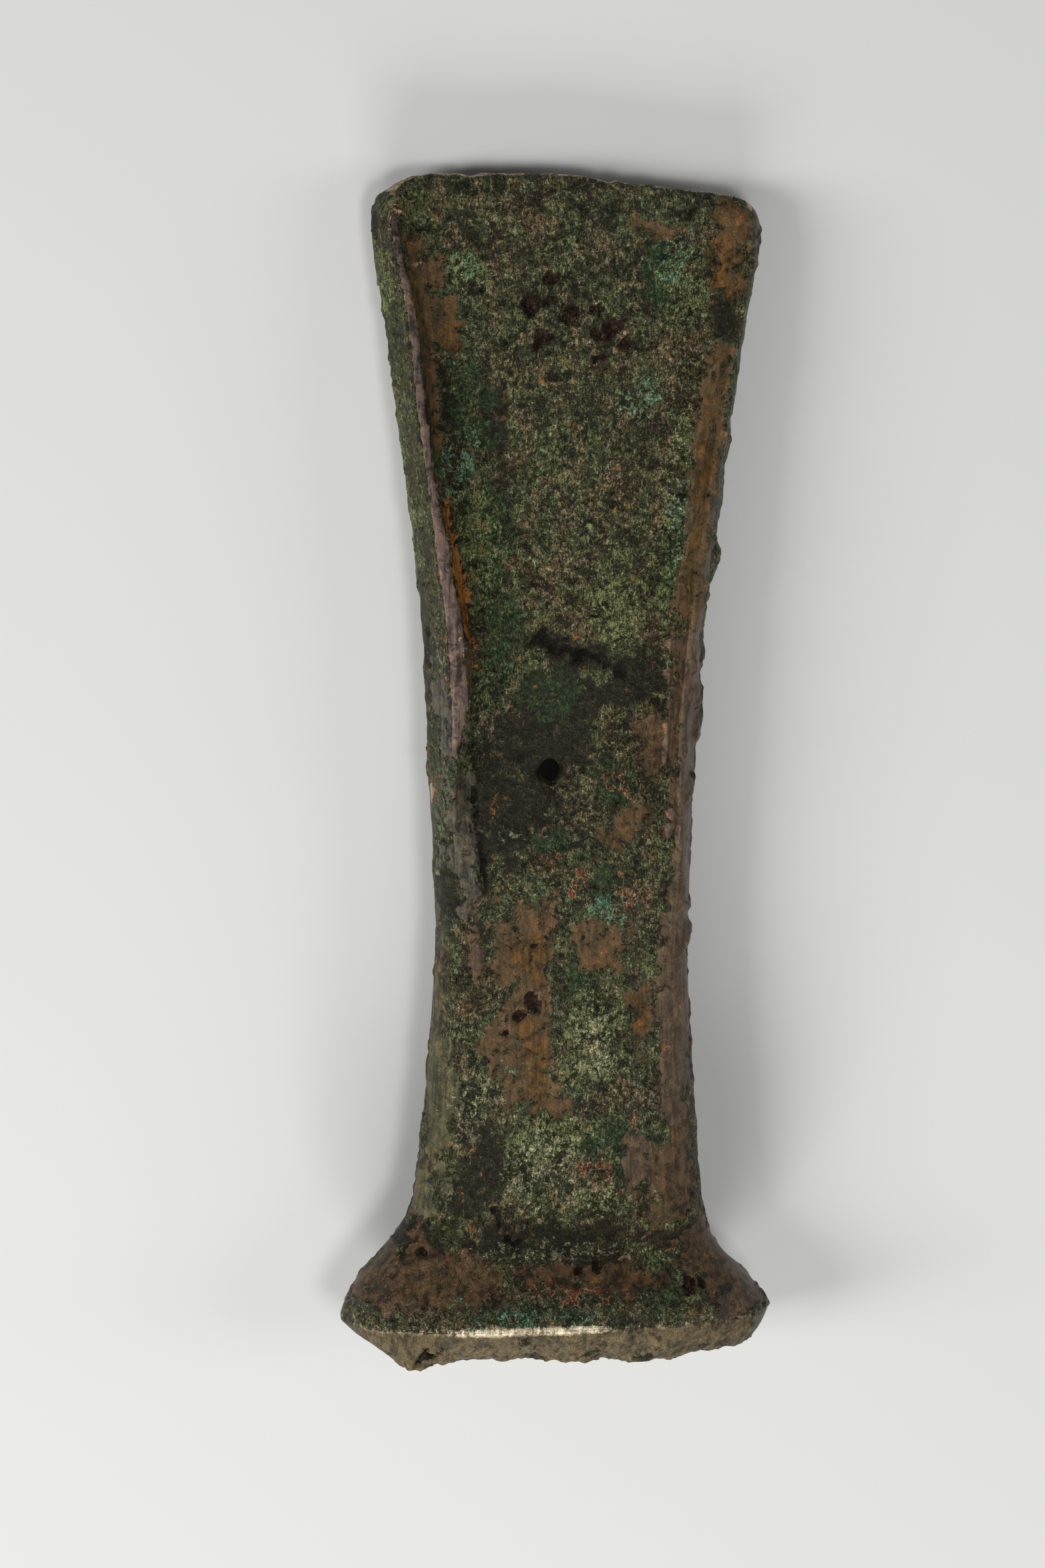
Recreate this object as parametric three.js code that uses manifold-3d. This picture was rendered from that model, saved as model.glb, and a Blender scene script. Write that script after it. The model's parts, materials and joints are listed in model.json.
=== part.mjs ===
// A bronze age flanged axe head: one piece of cast and hammered bronze, lying on its back.
//
// The axe is shaped in a frame of its own: X is its width, Y runs from the broken foot to the thin
// butt, and Z is its thickness, from the plane midway between its two faces. At the end it is laid
// down, so that +Z is up, and centred on the ground under it. All lengths are in millimetres.

import * as THREE from 'three';
import Module from 'manifold-3d';

// ---- Driving dimensions ----------------------------------------------------------------------

const LENGTH = 160;             // foot to butt
const FOOT_DEPTH = 22;          // thickness across the flared foot
const BACK_SHARE = 0.97;        // the back's relief, as a share of the front's
const STATION_STEP = 2.6;       // spacing of the cross-sections along the plain stretch
const SPOT_DEPTH = 0.12;        // metal worn flat where the axe lies on the ground

// Half-width of the outline along the axe, on each side: [distance from the foot, half-width].
const HALF_WIDTH = {
  left: curve([[0, 29.0], [6.3, 29.6], [10.9, 27.2], [14.7, 23.8], [18.6, 21.3], [24.6, 19.5], [39, 18.0],
    [58, 16.9], [80, 17.7], [102, 18.9], [120, 21.1], [138, 23.7], [154, 25.9], [160, 26.2]]),
  right: curve([[0, 29.0], [6.3, 29.7], [11.2, 26.4], [15.2, 22.4], [18.4, 20.9], [24.6, 19.6], [39, 18.5],
    [57, 17.5], [79, 17.95], [98, 18.8], [112, 20.5], [128, 22.4], [142, 24.4], [154, 26.1], [160, 26.4]]),
};

// The butt's round corners, and how far the butt's edge drops towards the right.
const CORNER = { left: { wide: 7.6, tall: 6.1 }, right: { wide: 3.8, tall: 4.6 } };
const BUTT_SLANT = 0.115;
const SLANT_REACH = 22;

// The flanges: how far the crest stands in from the outline, the crest's width and its height
// above the mid-plane.
const CREST_INSET = {
  left: curve([[60, 2.2], [80, 2.0], [96, 2.4], [111, 1.8], [129, 1.8], [140, 2.3], [154, 2.0], [160, 0.8]]),
  right: curve([[60, 2.3], [85, 2.6], [100, 2.2], [120, 1.9], [130, 1.5], [154, 1.3], [160, 0.8]]),
};
const CREST_WIDTH = {
  left: curve([[60, 0.5], [80, 0.4], [93, 2.2], [111, 1.6], [120, 1.1], [138, 1.3], [154, 0.7], [160, 0.5]]),
  right: curve([[60, 0.8], [110, 1.0], [150, 0.8], [160, 0.5]]),
};
const CREST_HEIGHT = curve([[60, 6.2], [75, 6.35], [90, 6.65], [105, 6.65], [120, 6.35], [135, 5.85], [147, 4.9],
  [153, 3.9], [157, 2.5], [160, 0.6]]);

// The web between the flanges: where each flange's inner wall meets it, and half its thickness.
// It tapers evenly from SEAT_START to SEAT_END, where the split haft lay against it.
const WEB_EDGE = {
  left: curve([[0, 14], [24, 11], [67, 10.8], [77, 12], [95, 12.2], [106, 13.4], [117, 15.6], [130, 17],
    [147, 18.8], [157, 19.8], [160, 17.5]]),
  right: curve([[0, 15], [24, 12], [48, 11.6], [62, 13.2], [79, 13.8], [93, 13.1], [106, 13.5], [120, 15.4],
    [143, 18.6], [157, 20.4], [160, 19.4]]),
};
const SEAT_START = 95;
const SEAT_END = 142;
const SEAT_HALF = 2.3;
const SEAT_TAPER = 0.0145;
const WEB_HALF = curve([[60, 4.8], [70, 3.9], [80, 2.9], [88, seatHalf(88)], [SEAT_START, seatHalf(SEAT_START)],
  [SEAT_END, seatHalf(SEAT_END)], [148, seatHalf(148)], [154, 1.35], [158, 1.0], [160, 0.45]]);

// The solid lower body: half its thickness, how square its shoulders are, and how far its middle
// is sunk below them.
const BODY_HALF = curve([[6.3, FOOT_DEPTH / 2], [7.8, 10.7], [10.6, 9.3], [13.6, 7.75], [16, 6.75], [18, 6.35],
  [23, 6.1], [60, 6.15], [90, 6.3]]);
const SQUARENESS = curve([[6.3, 3], [12, 3.4], [30, 4.6], [60, 5.2], [90, 5.2]]);
const FACE_SINK = curve([[20, 0], [30, 0.3], [45, 0.7], [60, 1.35], [90, 1.4]]);
const FLANGES_START = { left: 62, right: 55 };
const FLANGES_WHOLE = { left: 85, right: 81 };

// The foot below its rim: a narrow bevel turns under to a ragged edge, around a shallow hollow.
const RIM_Y = 6.3;
const EDGE_HALF_WIDTH = 29.0;
const EDGE_HALF_DEPTH = 7.6;
const HOLLOW_DEPTH = 1.7;
const RAGGED_FRONT = curve([[-29.5, 5.9], [-28.2, 4.7], [-24.2, 2.4], [-22.9, 1.1], [-20.4, 0], [-18.4, 0.4],
  [-16.9, 1.4], [-12, 1.8], [-5, 1.7], [0.5, 0.9], [4.5, 1.5], [8, 0.7], [13, 0.5], [19.7, 1.8], [24.2, 1.6],
  [28, 3.6], [29.5, 5.5]]);
const RAGGED_BACK = curve([[-29.5, 5.9], [-25, 3.4], [-17, 1.9], [-9, 1.2], [-3, 1.7], [4, 1.1], [12, 1.6],
  [20, 1.5], [26, 3.2], [29.5, 5.5]]);
const LIP = { x: -20.4, wide: 2.1, out: 1.1 };      // the edge is folded over outwards here

// The casting seam down the middle of each side, with lumps of corrosion on the right one.
const SEAM_HEIGHT = 0.25;
const LUMPS = [[131.5, 0.5], [125.5, 0.7], [116.5, 0.6], [109.5, 0.9], [96.5, 0.7], [86.5, 0.8]];
const LUMP_REACH = 1.3;

// A casting flaw right through the web.
const HOLE = { x: -1.7, y: 81, radius: 1.3, mouth: 1.9, sides: 14 };

// ---- Curves ----------------------------------------------------------------------------------

function seatHalf(y) {
  return SEAT_HALF - SEAT_TAPER * (y - SEAT_START);
}

// A smooth curve through [position, value] points that never overshoots them. Past its ends it
// keeps its end values.
function curve(points) {
  const rise = points.slice(1).map(([x, v], i) => (v - points[i][1]) / (x - points[i][0]));
  const slope = points.map((_, i) => {
    const before = rise[i - 1] ?? 0;
    const after = rise[i] ?? 0;
    return before * after > 0 ? (2 * before * after) / (before + after) : 0;
  });
  return (at) => {
    const x = THREE.MathUtils.clamp(at, points[0][0], points.at(-1)[0]);
    const i = Math.min(points.findLastIndex(([start]) => start <= x), points.length - 2);
    const [x0, v0] = points[i];
    const [x1, v1] = points[i + 1];
    const span = x1 - x0;
    const t = (x - x0) / span;
    const lift = t * t * (3 - 2 * t);
    const leave = t * (1 - t) * (1 - t) * span * slope[i];
    const arrive = t * t * (t - 1) * span * slope[i + 1];
    return v0 + (v1 - v0) * lift + leave + arrive;
  };
}

const { lerp, smoothstep } = THREE.MathUtils;
const bell = (distance, reach) => Math.exp(-((distance / reach) ** 2));

// ---- Cross-sections --------------------------------------------------------------------------

function halfWidth(side, y) {
  const { wide, tall } = CORNER[side];
  const into = Math.max(0, (y - (LENGTH - tall)) / tall);
  return HALF_WIDTH[side](y) - wide * (1 - Math.sqrt(Math.max(0, 1 - into * into)));
}

function seam(side, y) {
  const fade = smoothstep(y, 20, 60) * (1 - smoothstep(y, 150, LENGTH));
  const lumps = side === 'right' ? LUMPS.reduce((sum, [at, out]) => sum + out * bell(y - at, LUMP_REACH), 0) : 0;
  return SEAM_HEIGHT * fade + lumps;
}

// One quarter of a section, from the seam on the side to the middle of the face, as [x, z].
// Where the axe has flanges:
function flangedQuarter(side, y, relief) {
  const width = halfWidth(side, y);
  const web = WEB_HALF(y);
  const height = Math.max(CREST_HEIGHT(y) * relief, web + 0.02);
  const inset = CREST_INSET[side](y);
  const outer = width - inset;
  const inner = outer - CREST_WIDTH[side](y);
  const foot = Math.min(WEB_EDGE[side](y), inner - 0.9);
  const drop = height - web;
  const flank = (share) => [width - inset * share ** 1.6, height * share];
  return [
    [width + seam(side, y), 0],
    flank(0.3),
    flank(0.62),
    flank(0.9),
    [outer - 0.12, height],
    [inner, height - 0.04 * drop],
    [lerp(inner, foot, 0.28), height - 0.5 * drop],
    [lerp(inner, foot, 0.62), height - 0.86 * drop],
    [foot, web],
    [foot * 0.7, web],
    [foot * 0.35, web],
  ];
}

// Where it is a solid bar with round shoulders:
function solidQuarter(side, y, relief, width, half) {
  const foot = Math.min(WEB_EDGE[side](y), width * 0.8);
  const sink = FACE_SINK(y) * relief;
  const squareness = SQUARENESS(y);
  const surface = (x) => half * Math.sqrt(Math.max(0, 1 - (x / width) ** squareness));
  const onShoulder = (share, sunk) => {
    const x = lerp(foot, width, share);
    return [x, surface(x) - sink * sunk];
  };
  return [
    [width + seam(side, y), 0],
    onShoulder(0.992, 0),
    onShoulder(0.955, 0),
    onShoulder(0.89, 0),
    onShoulder(0.79, 0),
    onShoulder(0.66, 0),
    onShoulder(0.5, 0),
    onShoulder(0.28, 0.2),
    onShoulder(0, 0.9),
    [foot * 0.7, surface(foot * 0.7) - sink],
    [foot * 0.35, surface(foot * 0.35) - sink],
  ];
}

function quarter(side, y, relief) {
  const flanged = smoothstep(y, FLANGES_START[side], FLANGES_WHOLE[side]);
  const half = BODY_HALF(y) * (y < 40 ? 1 : relief);
  const solid = solidQuarter(side, y, relief, halfWidth(side, y), half);
  if (flanged === 0) return solid;
  const plate = flangedQuarter(side, y, relief);
  return solid.map(([x, z], i) => [lerp(x, plate[i][0], flanged), lerp(z, plate[i][1], flanged)]);
}

function middle(y, relief) {
  const flanged = smoothstep(y, FLANGES_START.left, FLANGES_WHOLE.left);
  return lerp(BODY_HALF(y) * (y < 40 ? 1 : relief) - FACE_SINK(y) * relief, WEB_HALF(y), flanged);
}

// Four quarters make a closed ring: right front, left front, left back, right back.
function ring(front, back, frontMiddle, backMiddle) {
  const [seamRight, ...frontRight] = front.right;
  const [seamLeft, ...frontLeft] = front.left;
  const backLeft = back.left.slice(1);
  const backRight = back.right.slice(1);
  return [
    seamRight,
    ...frontRight,
    [0, frontMiddle],
    ...frontLeft.reverse().map(([x, z]) => [-x, z]),
    [-seamLeft[0], 0],
    ...backLeft.map(([x, z]) => [-x, -z]),
    [0, -backMiddle],
    ...backRight.reverse().map(([x, z]) => [x, -z]),
  ];
}

function bodyRing(y) {
  const quarters = (relief) => ({ left: quarter('left', y, relief), right: quarter('right', y, relief) });
  return ring(quarters(1), quarters(BACK_SHARE), middle(y, 1), middle(y, BACK_SHARE))
    .map(([x, z]) => new THREE.Vector3(x, slanted(x, y), z));
}

// The butt's edge drops to the right.
function slanted(x, y) {
  return y - smoothstep(y, LENGTH - SLANT_REACH, LENGTH) * BUTT_SLANT * Math.max(0, x);
}

// A ring of the foot below its rim: down is 0 at the rim and 1 at the ragged edge.
function bevelRing(down, bulge) {
  const width = lerp(HALF_WIDTH.left(RIM_Y), EDGE_HALF_WIDTH, down);
  const half = lerp(FOOT_DEPTH / 2, EDGE_HALF_DEPTH, down) + bulge;
  return footRing(width, half).map(([x, z]) => {
    const ragged = z > 0 ? RAGGED_FRONT(x) : RAGGED_BACK(x);
    const fold = z > 0 ? LIP.out * down * bell(x - LIP.x, LIP.wide) : 0;
    return new THREE.Vector3(x, lerp(RIM_Y, ragged, down), z + fold);
  });
}

// A ring inside the hollow under the foot, at a share of the ragged edge's size.
function hollowRing(share, depth) {
  return footRing(EDGE_HALF_WIDTH * share, EDGE_HALF_DEPTH * share).map(([x, z]) => {
    const ragged = z > 0 ? RAGGED_FRONT(x) : RAGGED_BACK(x);
    return new THREE.Vector3(x, lerp(ragged, 2, 1 - share) + depth, z);
  });
}

function footRing(width, half) {
  const quarters = () => ({
    left: solidQuarter('left', RIM_Y, 1, width, half),
    right: solidQuarter('right', RIM_Y, 1, width, half),
  });
  return ring(quarters(), quarters(), half, half);
}

// ---- The solid -------------------------------------------------------------------------------

function stations() {
  const foot = [RIM_Y, 7.2, 8.4, 10, 12, 14, 16, 18, 20.5, 23.5];
  const butt = [153.5, 155.3, 156.8, 158, 159, 159.7, LENGTH];
  const start = 27;
  const count = Math.round((butt[0] - start) / STATION_STEP);
  const plain = Array.from({ length: count }, (_, i) => lerp(start, butt[0], i / count));
  return [...foot, ...plain, ...butt];
}

// Joins the rings into one closed surface. The butt's last ring is a narrow slot, closed by a
// strip across it; the hollow's smallest ring is closed the same way.
function axeSolid(wasm) {
  const rings = [
    hollowRing(0.3, HOLLOW_DEPTH),
    hollowRing(0.62, HOLLOW_DEPTH * 0.8),
    hollowRing(0.88, HOLLOW_DEPTH * 0.25),
    bevelRing(1, 0),
    bevelRing(0.62, 0.35),
    bevelRing(0.25, 0.25),
    ...stations().map(bodyRing),
  ];
  const around = rings[0].length;
  const corners = rings.flat().flatMap((p) => [p.x, p.y, p.z]);
  const faces = [];
  for (let row = 0; row < rings.length - 1; row += 1) {
    for (let i = 0; i < around; i += 1) {
      const next = (i + 1) % around;
      const [a, b] = [row * around + i, row * around + next];
      faces.push(a, a + around, b, b, a + around, b + around);
    }
  }
  faces.push(...slotFaces(0, around, true), ...slotFaces((rings.length - 1) * around, around, false));
  return new wasm.Manifold(new wasm.Mesh({
    numProp: 3,
    vertProperties: Float32Array.from(corners),
    triVerts: Uint32Array.from(faces),
  }));
}

// Faces across a ring that is its own mirror image front to back, between opposite points.
function slotFaces(first, around, flipped) {
  const faces = [];
  const half = around / 2;
  for (let i = 0; i < half; i += 1) {
    const front = [first + i, first + i + 1];
    const back = [first + ((around - i) % around), first + around - i - 1];
    if (i > 0) faces.push([front[0], back[0], back[1]]);
    if (i < half - 1) faces.push([front[0], back[1], front[1]]);
  }
  return faces.flatMap(([a, b, c]) => (flipped ? [a, c, b] : [a, b, c]));
}

// A closed three.js geometry as a solid: only its positions are kept, with shared corners merged.
function solidOf(wasm, geometry) {
  const seen = new Map();
  const corners = [];
  const position = geometry.getAttribute('position');
  const shared = Array.from({ length: position.count }, (_, i) => {
    const point = [position.getX(i), position.getY(i), position.getZ(i)];
    const key = point.map((v) => Math.round(v * 1e4)).join();
    if (!seen.has(key)) {
      seen.set(key, seen.size);
      corners.push(...point);
    }
    return seen.get(key);
  });
  const faces = [];
  for (let i = 0; i < geometry.index.count; i += 3) {
    const face = [0, 1, 2].map((k) => shared[geometry.index.getX(i + k)]);
    if (new Set(face).size === 3) faces.push(...face);
  }
  return new wasm.Manifold(new wasm.Mesh({
    numProp: 3,
    vertProperties: Float32Array.from(corners),
    triVerts: Uint32Array.from(faces),
  }));
}

// The flaw: narrow in the middle of the web, wider at both mouths.
function holeTool(wasm) {
  const web = WEB_HALF(HOLE.y);
  const reach = web + 3;
  const profile = [[0, -reach], [HOLE.mouth, -reach], [HOLE.mouth, -web], [HOLE.radius, -web * 0.55],
    [HOLE.radius, web * 0.55], [HOLE.mouth, web], [HOLE.mouth, reach], [0, reach]]
    .map(([r, z]) => new THREE.Vector2(r, z));
  const geometry = new THREE.LatheGeometry(profile, HOLE.sides);
  geometry.rotateX(Math.PI / 2);
  geometry.translate(HOLE.x, HOLE.y, 0);
  return solidOf(wasm, geometry);
}

// ---- Lying down ------------------------------------------------------------------------------

function cornersOf(solid) {
  const { vertProperties, numProp } = solid.getMesh();
  return Array.from({ length: vertProperties.length / numProp }, (_, i) =>
    new THREE.Vector3().fromArray(vertProperties, i * numProp));
}

// The tilt at which it settles on its back: it rests on the rim of the foot, and the line from
// there that just clears everything above it lies along the flanges' crests.
function restTilt(corners) {
  const rim = corners.reduce((low, p) => (p.z < low.z ? p : low));
  const slopes = corners.filter((p) => p.y > LENGTH / 2).map((p) => (p.z - rim.z) / (p.y - rim.y));
  return Math.atan(Math.min(...slopes));
}

// Where the axe goes: turned to its tilt, centred, and SPOT_DEPTH into the ground.
function restingPlace(solid) {
  const corners = cornersOf(solid);
  const place = new THREE.Matrix4().makeRotationX(-restTilt(corners));
  const box = new THREE.Box3().setFromPoints(corners.map((p) => p.applyMatrix4(place)));
  const centre = box.getCenter(new THREE.Vector3());
  return place.premultiply(new THREE.Matrix4().makeTranslation(-centre.x, -centre.y, -box.min.z - SPOT_DEPTH));
}

// Everything under the ground, as seen from the axe in its resting place.
function groundTool(wasm, place) {
  const ground = new THREE.BoxGeometry(2 * LENGTH, 4 * LENGTH, LENGTH).translate(0, 0, -LENGTH / 2);
  return solidOf(wasm, ground.applyMatrix4(place.clone().invert()));
}

// ---- The mesh --------------------------------------------------------------------------------

function meshOf(name, solid, material) {
  const { vertProperties, triVerts } = solid.getMesh();
  const geometry = new THREE.BufferGeometry();
  geometry.setAttribute('position', new THREE.BufferAttribute(vertProperties, 3));
  geometry.setIndex(new THREE.BufferAttribute(triVerts, 1));
  geometry.computeVertexNormals();
  const mesh = new THREE.Mesh(geometry, material);
  mesh.name = name;
  return mesh;
}

const wasm = await Module();
wasm.setup();

const bronze = new THREE.MeshStandardMaterial({ color: 0x4c4a34, roughness: 0.5, metalness: 0.55 });
const whole = axeSolid(wasm).subtract(holeTool(wasm));
const place = restingPlace(whole);
const axe = meshOf('axe_head', whole.subtract(groundTool(wasm, place)), bronze);
axe.applyMatrix4(place);

const group = new THREE.Group();
group.add(axe);

export default group;
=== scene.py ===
"""A bronze age flanged axe head, lying on its back on a plain pale floor.

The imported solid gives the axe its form. It is copied, made dense and smooth, and given its
crust, pits, cracks and worn edges as real relief. A procedural material then colours it.
"""

import json
import math
from typing import NamedTuple

import bpy
import numpy as np
from mathutils import Matrix, Vector, noise


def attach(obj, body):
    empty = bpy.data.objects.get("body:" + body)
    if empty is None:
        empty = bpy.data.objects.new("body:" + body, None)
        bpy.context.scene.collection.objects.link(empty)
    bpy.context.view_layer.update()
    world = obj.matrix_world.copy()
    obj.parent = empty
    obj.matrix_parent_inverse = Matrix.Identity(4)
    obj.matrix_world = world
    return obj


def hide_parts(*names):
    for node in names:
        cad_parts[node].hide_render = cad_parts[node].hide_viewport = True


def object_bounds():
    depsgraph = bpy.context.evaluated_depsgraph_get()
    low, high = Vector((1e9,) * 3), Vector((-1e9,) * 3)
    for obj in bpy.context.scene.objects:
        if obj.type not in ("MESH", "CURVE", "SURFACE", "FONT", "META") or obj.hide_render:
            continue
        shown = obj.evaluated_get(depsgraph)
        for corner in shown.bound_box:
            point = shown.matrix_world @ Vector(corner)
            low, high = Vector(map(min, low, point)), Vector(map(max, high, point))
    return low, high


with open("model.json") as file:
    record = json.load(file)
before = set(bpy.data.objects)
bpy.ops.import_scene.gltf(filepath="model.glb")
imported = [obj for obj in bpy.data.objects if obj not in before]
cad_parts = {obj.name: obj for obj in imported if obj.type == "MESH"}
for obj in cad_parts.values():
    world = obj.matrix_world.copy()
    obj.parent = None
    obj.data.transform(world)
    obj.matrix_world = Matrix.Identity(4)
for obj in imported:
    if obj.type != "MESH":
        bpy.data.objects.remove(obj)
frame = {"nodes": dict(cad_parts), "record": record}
cad_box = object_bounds()

MM = 0.001
NODE = "axe_head"

# ---- The axe's own frame ---------------------------------------------------------------------
# x runs across the axe, y from the foot to the butt and z out of its front face, from the plane
# midway between its faces. All places on the axe are given in this frame, in millimetres.

seats = {m["name"]: m for m in frame["record"]["mounts"]}
front_seat, back_seat = seats["haft_seat_front"], seats["haft_seat_back"]
OUT = (Vector(front_seat["axis"]) - Vector(back_seat["axis"])).normalized()
ALONG = Vector((0, OUT.z, -OUT.y))
ACROSS = Vector((1, 0, 0))
MID = (Vector(front_seat["pos_m"]).dot(OUT) + Vector(back_seat["pos_m"]).dot(OUT)) / 2


def corners(mesh):
    """A mesh's points, one to a row."""
    found = np.empty(len(mesh.vertices) * 3)
    mesh.vertices.foreach_get("co", found)
    return found.reshape(-1, 3)


FOOT = (corners(frame["nodes"][NODE].data) @ np.array(ALONG)).min()
BASIS = np.array([ACROSS, ALONG, OUT])


def to_own(points):
    """Points of the row frame, in metres, as points on the axe, in millimetres."""
    return (points @ BASIS.T - np.array([0, FOOT, MID])) / MM


def to_row(x, y, z):
    """A point on the axe, in millimetres, as a point of the row frame, in metres."""
    return ACROSS * (x * MM) + ALONG * (y * MM + FOOT) + OUT * (z * MM + MID)


# ---- Camera ----------------------------------------------------------------------------------

SEEN_FROM_LEFT = math.radians(10)
SEEN_FROM_BUTT = math.radians(8)
LEAN = math.radians(0.47)
CAMERA_AWAY = 620
SENSOR_WIDTH = 36
FRAME_HEIGHT = 209.7
FRAME_MIDDLE = (-5.3, 78.75, 0)
NEAREST_SEEN, FURTHEST_SEEN = 0.01, 10


def make_camera():
    data = bpy.data.cameras.new("camera")
    data.sensor_width = SENSOR_WIDTH
    data.lens = SENSOR_WIDTH * CAMERA_AWAY / FRAME_HEIGHT
    data.clip_start, data.clip_end = NEAREST_SEEN, FURTHEST_SEEN
    camera = bpy.data.objects.new("camera", data)
    bpy.context.scene.collection.objects.link(camera)
    back = (
        ACROSS * (-math.sin(SEEN_FROM_LEFT) * math.cos(SEEN_FROM_BUTT))
        + ALONG * math.sin(SEEN_FROM_BUTT)
        + OUT * (math.cos(SEEN_FROM_LEFT) * math.cos(SEEN_FROM_BUTT))
    )
    up = ALONG * math.cos(LEAN) - ACROSS * math.sin(LEAN)
    right = up.cross(back).normalized()
    up = back.cross(right)
    turn = Matrix((right, up, back)).transposed().to_4x4()
    place = to_row(*FRAME_MIDDLE) + back * CAMERA_AWAY * MM
    camera.matrix_world = Matrix.Translation(place) @ turn
    bpy.context.scene.camera = camera


# ---- Floor and light -------------------------------------------------------------------------
# Here everything is in metres and watts.

FLOOR_HALF = 1.5
FLOOR_COLOUR = (0.62, 0.65, 0.70, 1)
FLOOR_ROUGHNESS = 0.9
LIGHT_COLOUR = (1, 0.955, 0.87)
SKY_COLOUR = (0.60, 0.57, 0.53, 1)
SKY_STRENGTH = 0.18


class Light(NamedTuple):
    """A soft rectangular lamp, turned towards the point that it is aimed at."""

    name: str
    place: tuple
    size: tuple
    power: float
    aim: tuple = (0, 0, 0)


LIGHTS = [
    Light("left", place=(-0.75, -0.10, 0.50), size=(0.25, 0.5), power=6.4),
    Light("right", place=(0.80, -0.05, 0.50), size=(0.25, 0.5), power=2.0),
    Light("foot_side", place=(-0.12, -0.85, 0.34), size=(0.6, 0.22), power=6.5, aim=(0, -0.03, 0)),
    Light("overhead", place=(0.10, -0.15, 0.95), size=(0.25, 0.25), power=2.6),
]


def make_floor():
    far = FLOOR_HALF
    mesh = bpy.data.meshes.new("floor")
    mesh.from_pydata([(-far, -far, 0), (far, -far, 0), (far, far, 0), (-far, far, 0)], [], [(0, 1, 2, 3)])
    floor = bpy.data.objects.new("floor", mesh)
    bpy.context.scene.collection.objects.link(floor)
    material = bpy.data.materials.new("floor")
    material.use_nodes = True
    shader = material.node_tree.nodes["Principled BSDF"]
    shader.inputs["Base Color"].default_value = FLOOR_COLOUR
    shader.inputs["Roughness"].default_value = FLOOR_ROUGHNESS
    mesh.materials.append(material)


def make_light(light):
    data = bpy.data.lights.new(light.name, "AREA")
    data.shape = "RECTANGLE"
    data.size, data.size_y = light.size
    data.energy = light.power
    data.color = LIGHT_COLOUR
    lamp = bpy.data.objects.new(light.name, data)
    bpy.context.scene.collection.objects.link(lamp)
    lamp.location = light.place
    lamp.rotation_euler = (Vector(light.aim) - Vector(light.place)).to_track_quat("-Z", "Y").to_euler()


def make_sky():
    world = bpy.data.worlds.new("world")
    world.use_nodes = True
    background = world.node_tree.nodes["Background"]
    background.inputs["Color"].default_value = SKY_COLOUR
    background.inputs["Strength"].default_value = SKY_STRENGTH
    bpy.context.scene.world = world
    bpy.context.scene.view_settings.view_transform = "Standard"


# ---- Where things are on the axe -------------------------------------------------------------
# A spot is (x, y, across, along, turn): an ellipse's centre, its half-sizes and its turn in
# degrees, anticlockwise. Spots and strips lie on the front face and on what shows of the left
# side. Elsewhere noise places the same finishes, all but the worn metal with its painted highlights.

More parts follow.
